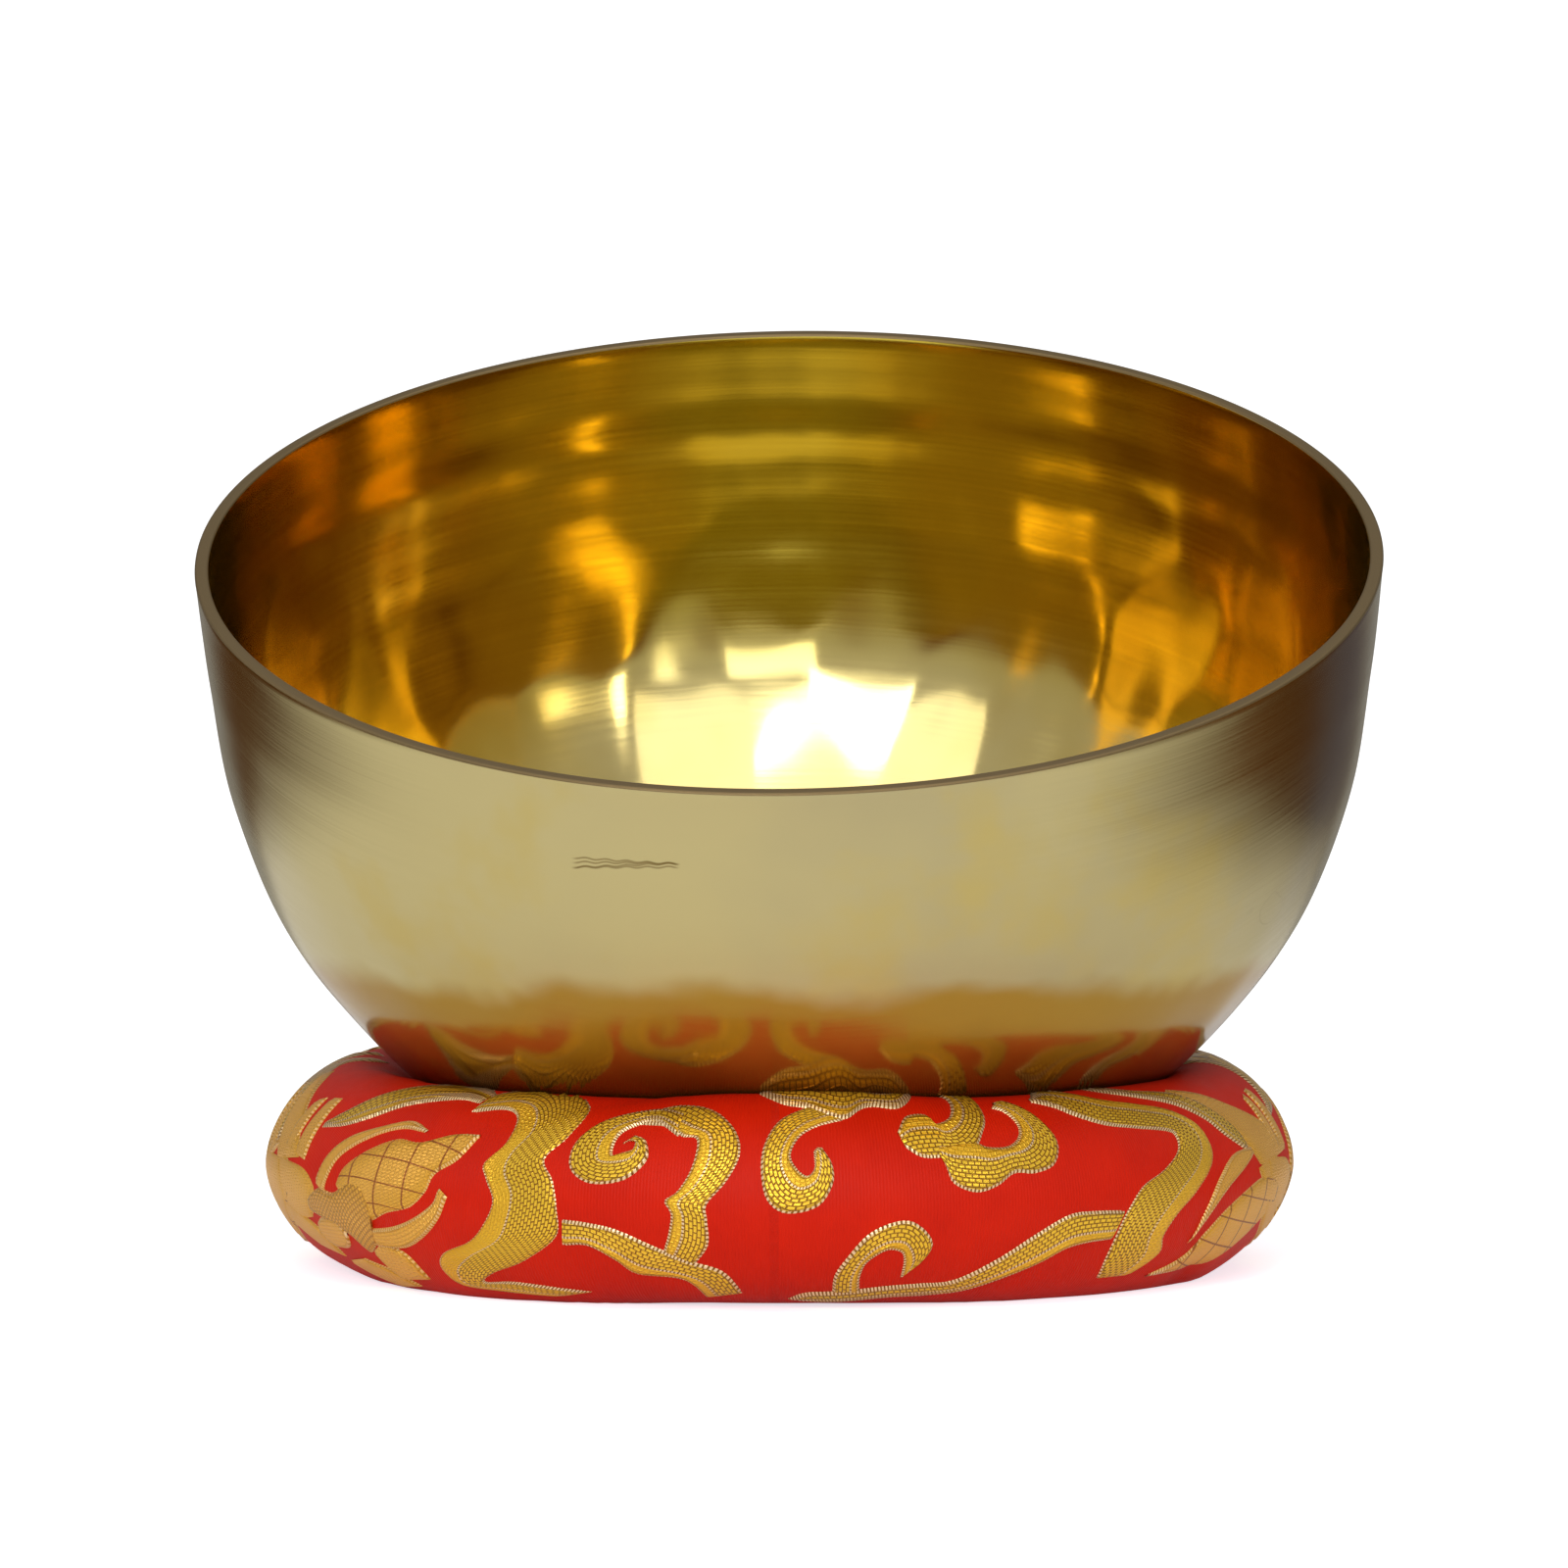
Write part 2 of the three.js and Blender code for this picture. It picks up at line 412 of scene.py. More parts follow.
in_push = in_push + LIP_RING * rings * np.clip((0.3 - share) / 0.1, 0, 1)


# %% Sweeping the bowl
def bowl_turn():
    """The matrix that tilts the mouth to the front and then rolls it a little."""
    c, s = np.cos(BOWL_TILT), np.sin(BOWL_TILT)
    tilt = np.array([[1, 0, 0], [0, c, -s], [0, s, c]])
    c, s = np.cos(BOWL_ROLL), np.sin(BOWL_ROLL)
    roll = np.array([[c, 0, -s], [0, 1, 0], [s, 0, c]])
    return roll @ tilt


BOWL_TURN = bowl_turn()


def place_bowl(points):
    """Turns points given about the bowl's own axis to the way it leans."""
    return points @ BOWL_TURN.T


def swept(path, normal, push):
    """Turns the path round the axis, pushed along its normal by push at each point."""
    r = path[None, :, 0] + normal[None, :, 0] * push
    z = path[None, :, 1] + normal[None, :, 1] * push + 0 * turn
    r = r + 0 * turn
    return np.stack([r * np.cos(turn), r * np.sin(turn), z], -1)


plain_shape = place_bowl(swept(outline, outline_normal, 0 * share).reshape(-1, 3))
BOWL_SHIFT = (bowl_low + bowl_high) / 2 - (plain_shape.min(0) + plain_shape.max(0)) / 2

outer = swept(outline, outline_normal, out_push)[:, ::-1]
inner = swept(outline, outline_normal, -wall[None, :] - in_push)
inner[:, -1, :2] = 0
outer[:, 0, :2] = 0
corner = np.linspace(0, pi / 2, 5)[1:-1]
lip_r = np.concatenate([RIM_RADIUS - LIP_ROUND * (1 - np.cos(corner)),
                        RIM_RADIUS - np.linspace(LIP_ROUND, LIP - LIP_ROUND, 6),
                        RIM_RADIUS - LIP + LIP_ROUND * (1 - np.sin(corner))])
lip_z = np.concatenate([LIP_ROUND * np.sin(corner), np.full(6, LIP_ROUND),
                        LIP_ROUND * np.cos(corner)]) - LIP_ROUND
outer[:, -1, 2] = -LIP_ROUND
inner[:, 0, 2] = -LIP_ROUND
lip = swept(np.stack([lip_r, lip_z], -1), np.zeros((len(lip_r), 2)), np.zeros((1, len(lip_r))))
bowl_grid = np.concatenate([outer, lip, inner], 1)
columns = bowl_grid.shape[1]
side = np.concatenate([np.zeros(outer.shape[1]), np.full(lip.shape[1], 0.5),
                       np.ones(inner.shape[1])])
bowl_share = np.concatenate([share[0, ::-1], np.zeros(lip.shape[1]), share[0]])
bowl = make_mesh(
    "bowl_metal", place_bowl(bowl_grid.reshape(-1, 3)) + BOWL_SHIFT,
    grid_faces(TURNS, columns, wrap_rows=True),
    {"side": np.tile(side, TURNS), "share": np.tile(bowl_share, TURNS)})


def close_poles(piece):
    """Merges the points that meet on the axis, so the two bottoms have no hole."""
    shape = bmesh.new()
    shape.from_mesh(piece.data)
    bmesh.ops.remove_doubles(shape, verts=shape.verts, dist=1e-6)
    bmesh.ops.recalc_face_normals(shape, faces=shape.faces)
    shape.to_mesh(piece.data)
    shape.free()
    piece.data.polygons.foreach_set("use_smooth", np.ones(len(piece.data.polygons), dtype=bool))


close_poles(bowl)

# %% [markdown]
# ## Brass
# The outside was brushed round the bowl, so fine lines run level and the shine stretches
# across them. It has a pale olive tone with faint yellow blotches. Low down, next to the
# cushion, it is painted darker and browner, darkest where it meets the cloth: painted shade
# and a dimmed painted reflection of the cloth. The inside is golden, with painted shade in
# amber on its flanks and a painted pale highlight at the bottom. The lip is filed and stays
# brown and dull. The level lines come from noise that is squeezed along the bowl's own axis,
# on Object coordinates turned by a Mapping node. A few hairlines and four strokes of a
# scribble finish the front wall.

# %% Brass material
PALE_BRASS = (0.64, 0.54, 0.25, 1)
YELLOW_BRASS = (0.64, 0.50, 0.16, 1)
GREY_BRASS = (0.50, 0.43, 0.24, 1)
DEEP_GOLD = (0.68, 0.50, 0.055, 1)
BRIGHT_GOLD = (0.80, 0.62, 0.09, 1)
# painted highlight: the pale gold of the inside bottom
BOTTOM_GLARE_GOLD = (0.80, 0.67, 0.33, 1)
# painted shade: the amber of the inside flanks
FLANK_SHADE_AMBER = (0.51, 0.28, 0.03, 1)
# painted shade: the darker gold low on the outside, and the dark bronze where it meets the cloth
LOW_SHADE_GOLD = (0.46, 0.27, 0.03, 1)
CONTACT_SHADE_BRONZE = (0.20, 0.075, 0.006, 1)
LIP_BROWN = (0.23, 0.165, 0.08, 1)
SCRATCH_BROWN = (0.16, 0.11, 0.03, 1)
SCRIBBLE_BROWN = (0.20, 0.13, 0.04, 1)
# height of each stroke in metres, and how steeply it climbs to the right
SCRIBBLE = [(0.0730, -0.05), (0.0727, 0.0), (0.0723, 0.05), (0.0720, 0.015)]
SCRIBBLE_LEFT = 0.0258

brass, tree, shader = new_material("brushed_brass", Metallic=1.0)
place = node(tree, "ShaderNodeTexCoord").outputs["Object"]
upright = node(tree, "ShaderNodeMapping", {"Vector": place, "Rotation": (-BOWL_TILT, 0, 0)},
               vector_type="POINT").outputs[0]
stretched = node(tree, "ShaderNodeMapping", {"Vector": upright, "Scale": (9, 9, 1500)}).outputs[0]
lines = noise(tree, stretched, 1.0, 3.0, 0.6)
blotches = step(tree, noise(tree, place, 28.0, 4.0, 0.62), 0.5, 0.72)
cloudy = noise(tree, place, 60.0, 5.0, 0.6)
own = node(tree, "ShaderNodeSeparateXYZ", {0: place})
is_inside = step(tree, attribute(tree, "side"), 0.52, 0.98)
is_outside = step(tree, attribute(tree, "side"), 0.48, 0.02)
grey = step(tree, noise(tree, place, 9.0, 4.0, 0.6), 0.42, 0.7)
outside_colour = mix(tree, times(tree, grey, 0.7), PALE_BRASS, GREY_BRASS)
outside_colour = mix(tree, times(tree, blotches, 0.8), outside_colour, YELLOW_BRASS)
inside_colour = mix(tree, cloudy, DEEP_GOLD, BRIGHT_GOLD)
# Painted shade: the inside's left and right flanks are painted amber, darker than its middle.
from_middle = size_of(tree, minus(tree, own.outputs[0], 0.006))
patchy = math(tree, "MULTIPLY_ADD", noise(tree, place, 24.0, 3.0, 0.55), 0.09, -0.045)
painted_flank_shade = step(tree, plus(tree, from_middle, patchy), 0.022, 0.085)
# Painted highlight: the inside bottom is painted pale, most in the middle and least on the flanks.
deep = step(tree, attribute(tree, "share"), 0.26, 0.42)
painted_bottom_glare = times(tree, deep, math(tree, "MULTIPLY_ADD", painted_flank_shade, -0.75, 0.8))
inside_colour = mix(tree, painted_bottom_glare, inside_colour, BOTTOM_GLARE_GOLD)
inside_colour = mix(tree, times(tree, painted_flank_shade, 0.8), inside_colour, FLANK_SHADE_AMBER)
# Painted shade: low on the outside, next to the cushion, the brass is painted darker and browner,
# darkest where it meets the cloth; a dimmed painted reflection of the cloth.
uneven = math(tree, "MULTIPLY_ADD", noise(tree, place, 30.0, 3.0, 0.6), 0.012, -0.006)
low = step(tree, plus(tree, own.outputs[2], uneven), 0.0545, 0.0495)
contact_shade = step(tree, plus(tree, own.outputs[2], uneven), 0.046, 0.034)
painted_low_shade = mix(tree, contact_shade, LOW_SHADE_GOLD, CONTACT_SHADE_BRONZE)
outside_colour = mix(tree, low, outside_colour, painted_low_shade)
colour = mix(tree, is_inside, outside_colour, inside_colour)
is_lip = minus(tree, minus(tree, 1.0, is_inside), is_outside)
colour = mix(tree, is_lip, colour, LIP_BROWN)
wander = noise(tree, place, 17.0, 3.0, 0.6)
hairline = step(tree, size_of(tree, minus(tree, wander, 0.5)), 0.0012, 0.0)
sparse = step(tree, noise(tree, place, 11.0, 1.0, 0.5), 0.62, 0.7)
scratch = times(tree, times(tree, hairline, sparse), is_outside)
colour = mix(tree, scratch, colour, SCRATCH_BROWN)
# four nearly level strokes of a scribble, left of the middle on the front wall
from_scribble = size_of(tree, plus(tree, own.outputs[0], SCRIBBLE_LEFT))
in_span = step(tree, from_scribble, 0.0088, 0.0075)
front = math(tree, "LESS_THAN", own.outputs[1], 0.0)
wobble = times(tree, math(tree, "SINE", times(tree, own.outputs[0], 1900.0)), 0.00012)
for height, slope in SCRIBBLE:
    level = math(tree, "MULTIPLY_ADD", own.outputs[0], slope, height + slope * SCRIBBLE_LEFT)
    off = minus(tree, own.outputs[2], plus(tree, level, wobble))
    stroke = step(tree, size_of(tree, off), 0.00022, 0.00008)
    stroke = times(tree, stroke, times(tree, in_span, front))
    stroke = times(tree, stroke, times(tree, is_outside, 0.6))
    colour = mix(tree, stroke, colour, SCRIBBLE_BROWN)
tree.links.new(colour, shader.inputs["Base Color"])
dulled = times(tree, times(tree, low, is_outside), -0.25)
tree.links.new(plus(tree, dulled, 1.0), shader.inputs["Metallic"])
rough = math(tree, "MULTIPLY_ADD", lines, 0.14, 0.12)
rough = math(tree, "MULTIPLY_ADD", low, -0.06, rough)
rough = math(tree, "MULTIPLY_ADD", is_inside, -0.085, rough)
rough = plus(tree, rough, times(tree, cloudy, 0.06))
rough = math(tree, "MULTIPLY_ADD", is_lip, 0.3, rough)
tree.links.new(rough, shader.inputs["Roughness"])
depth = math(tree, "MULTIPLY_ADD", math(tree, "MAXIMUM", is_inside, low), -0.8, 1.0)
fine = bump(tree, times(tree, lines, depth), 0.05, 0.0004)
tree.links.new(fine, shader.inputs["Normal"])
finish_piece(bowl, "bowl", "bowl_brass", brass, "bowl")

# %% [markdown]
# ## The ring cushion
# The cover is a tube of cloth, stuffed hard and bent into a ring. Its section is a rounded
# oval, pressed flat below. The tilted bowl dents it at the front and sides, and the back,
# which carries little, stands taller. One parameter runs round the ring and one round the
# tube. The dent pushes each point that would be inside the bowl out to the bowl's skin.

# %% Ring shape
TUBE_WIDE = 15.5 * MM
TUBE_HIGH = 17.6 * MM
TUBE_POWER = 1.85
BACK_SWELL = 0.40
FLOOR_SAG = 0.8 * MM
SEAM_HEIGHT = 13 * MM
CLEAR = 0.3 * MM
RING_RADIUS = RING_OUTER - TUBE_WIDE


def swell(azimuth):
    """How much taller the ring stands at an azimuth counted from +X: 0 in front."""
    return 1 + BACK_SWELL * np.maximum(np.sin(azimuth), 0) ** 4


def tube_point(azimuth, around, proud=0.0):
    """Oval section at each azimuth; around runs from the outside over the crest."""
    def bulge(value):
        return np.sign(value) * np.abs(value) ** (2 / TUBE_POWER)
    r = RING_RADIUS + (TUBE_WIDE + proud) * bulge(np.cos(around))
    z = TUBE_HIGH - FLOOR_SAG + (TUBE_HIGH + proud) * bulge(np.sin(around))
    x = RING_CENTRE[0] + r * np.cos(azimuth)
    y = RING_CENTRE[1] + r * np.sin(azimuth)
    return np.stack([x, y, z * swell(azimuth)], -1)


def dent_by_bowl(points, clearance):
    """Moves each point that is inside the bowl's outline to the nearest point on its skin."""
    own = (points - BOWL_SHIFT) @ BOWL_TURN
    flat = np.stack([np.hypot(own[:, 0], own[:, 1]), own[:, 2]], -1)
    skin = outline + outline_normal * clearance
    near = np.empty(len(flat), dtype=int)
    for start in range(0, len(flat), 4000):
        part = flat[start:start + 4000, None] - skin[None]
        near[start:start + 4000] = (part ** 2).sum(-1).argmin(1)
    depth = ((flat - skin[near]) * outline_normal[near]).sum(-1)
    push = np.where(depth < 0, -depth, 0)
    moved = flat + outline_normal[near] * push[:, None]
    ratio = moved[:, 0] / np.maximum(flat[:, 0], 1e-6)
    own = np.stack([own[:, 0] * ratio, own[:, 1] * ratio, moved[:, 1]], -1)
    return own @ BOWL_TURN.T + BOWL_SHIFT


RING_STEPS, TUBE_STEPS = 360, 96
azimuth = np.linspace(-pi / 2, 1.5 * pi, RING_STEPS, endpoint=False)[:, None]
around = np.linspace(-pi, pi, TUBE_STEPS, endpoint=False)[None, :]
ring_points = tube_point(azimuth, around).reshape(-1, 3)

# %% [markdown]
# Cloth is settled by a short cloth simulation with air pressure in place of wadding. It
# starts a little slack and swells, which gives the cover its small uneven fullness. Only the
# change is kept, smoothed, capped at a millimetre, and added to the shape above. Then
# come the pinches that no coarse cloth can show: gathers round the inside of the ring,
# a crease under the bowl, and the sunk line of the long seam.

# %% Settling the cloth
SETTLE_FRAMES = 14
SETTLE_CAP = 1.0 * MM
SMOOTH_PASSES = 40


def settle_cloth(points, faces):
    """Cloth with pressure on a copy; returns how far each point moved along its normal."""
    copy = make_mesh("settling", points, faces)
    normals = np.empty(len(points) * 3)
    copy.data.vertices.foreach_get("normal", normals)
    cloth = copy.modifiers.new("cloth", "CLOTH")
    cloth.settings.use_pressure = True
    cloth.settings.uniform_pressure_force = 4
    cloth.settings.quality = 4
    cloth.settings.mass = 0.15
    cloth.settings.shrink_min = -0.035
    cloth.settings.effector_weights.gravity = 0
    for number in range(1, SETTLE_FRAMES + 1):
        bpy.context.scene.frame_set(number)
    view = bpy.context.evaluated_depsgraph_get()
    settled = copy.evaluated_get(view).to_mesh()
    after = np.empty(len(points) * 3)
    settled.vertices.foreach_get("co", after)
    move = ((after.reshape(-1, 3) - points) * normals.reshape(-1, 3)).sum(1)
    bpy.context.scene.frame_set(1)
    bpy.data.objects.remove(copy)
    move -= np.median(move)
    print("cloth moved from %.2f to %.2f mm" % (move.min() / MM, move.max() / MM))
    return np.clip(move, -SETTLE_CAP, 0.5 * SETTLE_CAP)


ring_faces = grid_faces(RING_STEPS, TUBE_STEPS, True, True)
fullness = settle_cloth(ring_points, ring_faces)
fullness = fullness.reshape(RING_STEPS, TUBE_STEPS)
for _ in range(SMOOTH_PASSES):
    for axis in (0, 1):
        beside = np.roll(fullness, 1, axis) + np.roll(fullness, -1, axis)
        fullness = 0.5 * fullness + 0.25 * beside
print("fullness kept from %.2f to %.2f mm" % (fullness.min() / MM, fullness.max() / MM))


# %% Gathers, creases and the dent
def gathers(azimuth, around):
    """Folds that run round the tube: a sum of waves, strongest on the inside of the ring."""
    folds = np.sin(29 * azimuth + 2 * np.sin(3 * azimuth)) + 0.6 * np.sin(47 * azimuth + 1)
    inside = np.clip(-np.cos(around), 0, 1) ** 1.5
    broad = 0.22 * np.sin(7 * azimuth + 1.5 * around) + 0.2 * np.sin(4 * azimuth - around + 2)
    return MM * (0.55 * folds * inside + broad)


def crease(azimuth, around, at, height, wide, long, depth):
    """A dimple: minus depth times a bell curve in both directions."""
    across = (azimuth - at + pi) % (2 * pi) - pi
    return -depth * np.exp(-(across / wide) ** 2 - ((around - height) / long) ** 2)


FRONT = -pi / 2
DENT_CAP, FULL_CAP = 1.1 * MM, 1.2 * MM
CREASES = [
    # degrees from the front, place round the tube, width, length, depth in mm
    (-38.5, 1.30, 0.045, 0.32, 1.1), (-22, 1.60, 0.20, 0.60, 1.3), (6, 1.60, 0.15, 0.50, -0.6),
    (28, 1.60, 0.16, 0.50, 0.7), (50, 1.45, 0.05, 0.30, 0.7), (57, -0.95, 0.05, 0.25, 1.0),
]
shape = fullness + gathers(azimuth, around)
for degrees, height, wide, long, depth in CREASES:
    shape += crease(azimuth, around, FRONT + radians(degrees), height, wide, long, depth * MM)
seam_angle = pi + np.arcsin((TUBE_HIGH - SEAM_HEIGHT) / TUBE_HIGH)
from_seam = (around - seam_angle + pi) % (2 * pi) - pi
shape -= 1.0 * MM * np.exp(-(from_seam / 0.06) ** 2)
join = (azimuth - pi / 2 + pi) % (2 * pi) - pi
shape -= 0.5 * MM * np.exp(-(join / 0.02) ** 2)
ring_points = tube_point(azimuth, around, np.clip(shape, -DENT_CAP, FULL_CAP))
ring_points = dent_by_bowl(ring_points.reshape(-1, 3), CLEAR)
ring_points[:, 2] = np.maximum(ring_points[:, 2], 0)
ring_grid = ring_points.reshape(RING_STEPS, TUBE_STEPS, 3)
lengthwise = (azimuth - FRONT) * RING_OUTER / MM + 0 * around
crosswise = around * 16.5 + 0 * azimuth
cover = make_mesh("cushion_cover_cloth", ring_points, ring_faces,
                  {"lengthwise": lengthwise, "crosswise": crosswise})

# %% [markdown]
# ## Brocade
# The ground is red satin: long floats lie side by side, so it shines in fine ribs. The
# thread ribs run across the tube. Colour shifts a little where the cloth was handled.

# %% Satin group and cover material
def satin_group():
    """Ribs and slow colour change of a satin weave, from cloth coordinates in mm."""
    group = bpy.data.node_groups.new("satin_weave", "ShaderNodeTree")
    for name, kind in (("Along", "Float"), ("Across", "Float"), ("Pitch", "Float")):
        group.interface.new_socket(name, in_out="INPUT", socket_type="NodeSocket" + kind)
    for name in ("Rib", "Mottle"):
        group.interface.new_socket(name, in_out="OUTPUT", socket_type="NodeSocketFloat")
    start = group.nodes.new("NodeGroupInput")
    end = group.nodes.new("NodeGroupOutput")
    phase = math(group, "DIVIDE", start.outputs["Along"], start.outputs["Pitch"])
    wave = math(group, "SINE", times(group, phase, 2 * pi))
    floats = node(group, "ShaderNodeCombineXYZ", {
        0: times(group, start.outputs["Along"], 3.0),
        1: times(group, start.outputs["Across"], 0.35)}).outputs[0]
    slub = noise(group, floats, 1.0, 2.0, 0.6)
    rib = plus(group, times(group, wave, 0.3), slub)
    wide = node(group, "ShaderNodeCombineXYZ", {
        0: start.outputs["Along"], 1: start.outputs["Across"]}).outputs[0]
    group.links.new(rib, end.inputs["Rib"])
    group.links.new(noise(group, wide, 0.09, 3.0, 0.55), end.inputs["Mottle"])
    return group


satin = satin_group()
RED_LIT = (0.74, 0.016, 0.001, 1)
RED_DEEP = (0.50, 0.007, 0.001, 1)

red_cloth, tree, shader = new_material("red_satin", Roughness=0.46, Sheen_Weight=0.02,
                                       Sheen_Roughness=0.4, Sheen_Tint=(1.0, 0.25, 0.15),
                                       Specular_IOR_Level=0.12)
weave = node(tree, "ShaderNodeGroup", node_tree=satin)
tree.links.new(attribute(tree, "lengthwise"), weave.inputs["Along"])
tree.links.new(attribute(tree, "crosswise"), weave.inputs["Across"])
weave.inputs["Pitch"].default_value = 0.55
colour = mix(tree, weave.outputs["Mottle"], RED_DEEP, RED_LIT)
colour = mix(tree, times(tree, weave.outputs["Rib"], 0.35), colour, RED_LIT)
tree.links.new(colour, shader.inputs["Base Color"])
tree.links.new(bump(tree, weave.outputs["Rib"], 0.35, 0.0002), shader.inputs["Normal"])
finish_piece(cover, "cushion", "brocade", red_cloth, "cushion_cover")

# %% [markdown]
# ## Scrolls
# The gold figures are woven in with extra threads, so they stand a little proud. Each is
# a band between two edges: a smooth gold side, a side of small cells, and pale overcast
# stitches along both edges. A figure is drawn as seen from the front, in mm to the right
# of the middle and mm above the floor, a point of one edge and its partner on the other.
# The band is then carried onto the settled cloth by reading the cloth's own grid.

# %% Laying a band on the cloth
BAND_STEPS, BAND_ACROSS = 6, 11
PROUD = 0.32 * MM
CREST = 2 * TUBE_HIGH / MM
SEEN_RADIUS = 85.2
SEEN_RISE = 4.9
MM_PER_DEGREE = 1.5
ring_normals = np.empty(len(ring_points) * 3)
cover.data.vertices.foreach_get("normal", ring_normals)
ring_normals = ring_normals.reshape(RING_STEPS, TUBE_STEPS, 3)


def on_cloth(degrees, height, lift):
    """Point on the cloth at an angle from the front and a height in mm on its outer face.

    Heights over the crest go on down the inner face. The cloth's grid is read between its
    four nearest points."""
    folded = np.where(height > CREST, 2 * CREST - height, height)
    share = np.clip(folded / (CREST / 2) - 1, -1, 1)
    angle = np.arcsin(np.sign(share) * np.abs(share) ** (TUBE_POWER / 2))
    angle = np.where(height > CREST, pi - angle, angle)
    i = (np.radians(degrees) / (2 * pi) * RING_STEPS) % RING_STEPS
    j = ((angle + pi) / (2 * pi) * TUBE_STEPS) % TUBE_STEPS
    i0, j0 = np.floor(i).astype(int) % RING_STEPS, np.floor(j).astype(int) % TUBE_STEPS
    i1, j1 = (i0 + 1) % RING_STEPS, (j0 + 1) % TUBE_STEPS
    fi, fj = (i % 1)[..., None], (j % 1)[..., None]

    def read(grid):
        low = grid[i0, j0] * (1 - fj) + grid[i0, j1] * fj
        high = grid[i1, j0] * (1 - fj) + grid[i1, j1] * fj
        return low * (1 - fi) + high * fi
    return read(ring_grid) + read(ring_normals) * lift[..., None]


def unrolled(figure):
    """Edges as (points, 2, 2): degrees from the front and height on the cloth.

    The angle is the one whose sine is the distance from the middle over the ring's seen
    radius. The ring's sides lie farther off, so they look a little higher."""
    figure = np.array(figure, float)
    angle = np.arcsin(np.clip(figure[:, [0, 2]] / SEEN_RADIUS, -0.985, 0.985))
    height = figure[:, [1, 3]] - SEEN_RISE * (1 - np.cos(angle))
    return np.stack([np.degrees(angle), height], -1)


def ribbon(knots):
    """Edges of a band given as (degrees, height, half width) along its middle."""
    knots = np.array(knots, float)
    side = outward(knots[:, :2] * (MM_PER_DEGREE, 1)) * knots[:, 2:]
    side[:, 0] /= MM_PER_DEGREE
    return np.stack([knots[:, :2] - side, knots[:, :2] + side], 1)


def band(edges, level, lift=PROUD, mark=0.0):
    """A sheet between two edges, fullest inside and sunk into the cloth at its border."""
    count = len(edges)
    both = through(edges.reshape(count, 4), BAND_STEPS).reshape(-1, 2, 2)
    flat = both * (MM_PER_DEGREE, 1)
    across = np.linspace(0, 1, BAND_ACROSS)[None, :]
    place = flat[:, :1] * (1 - across[..., None]) + flat[:, 1:] * across[..., None]
    half = np.maximum(np.linalg.norm(flat[:, 1] - flat[:, 0], axis=1) / 2, 0.02)[:, None]
    centre = flat.mean(1)
    steps = np.linalg.norm(np.diff(centre, axis=0), axis=1)
    run = np.concatenate([[0], np.cumsum(steps)])[:, None]
    border = np.minimum((0.5 - np.abs(across - 0.5)) * 2 * half,
                        np.minimum(run, run[-1] - run) + 0.1)
    edge = np.clip(border / 0.35, 0, 1)
    height = lift * edge ** 0.5 * (1 + 0.14 * level) - 0.12 * MM * (1 - edge)
    points = on_cloth(place[..., 0] / MM_PER_DEGREE, place[..., 1], height)
    facts = {"along": run + 0 * across, "across": 2 * across - 1 + 0 * run,
             "half": half + 0 * across, "mark": mark + 0 * across + 0 * run,
             "lengthwise": place[..., 0], "crosswise": place[..., 1]}
    ahead, aside = np.diff(centre, axis=0), (flat[:, 1] - flat[:, 0])[:-1]
    turning = (ahead[:, 0] * aside[:, 1] - ahead[:, 1] * aside[:, 0]).sum()
    if turning > 0:
        points = points[:, ::-1]
        facts = {key: data[:, ::-1] for key, data in facts.items()}
    return points, facts


def join_bands(name, bands):
    """Puts many bands in one mesh."""
    faces, points, values, first = [], [], {}, 0
    for grid, facts in bands:
        rows, columns = grid.shape[:2]
        faces.append(grid_faces(rows, columns) + first)
        first += rows * columns
        points.append(grid.reshape(-1, 3))
        for key, data in facts.items():
            values.setdefault(key, []).append(data.ravel())
    merged = {key: np.concatenate(parts) for key, parts in values.items()}
    return make_mesh(name, np.concatenate(points), np.concatenate(faces), merged)
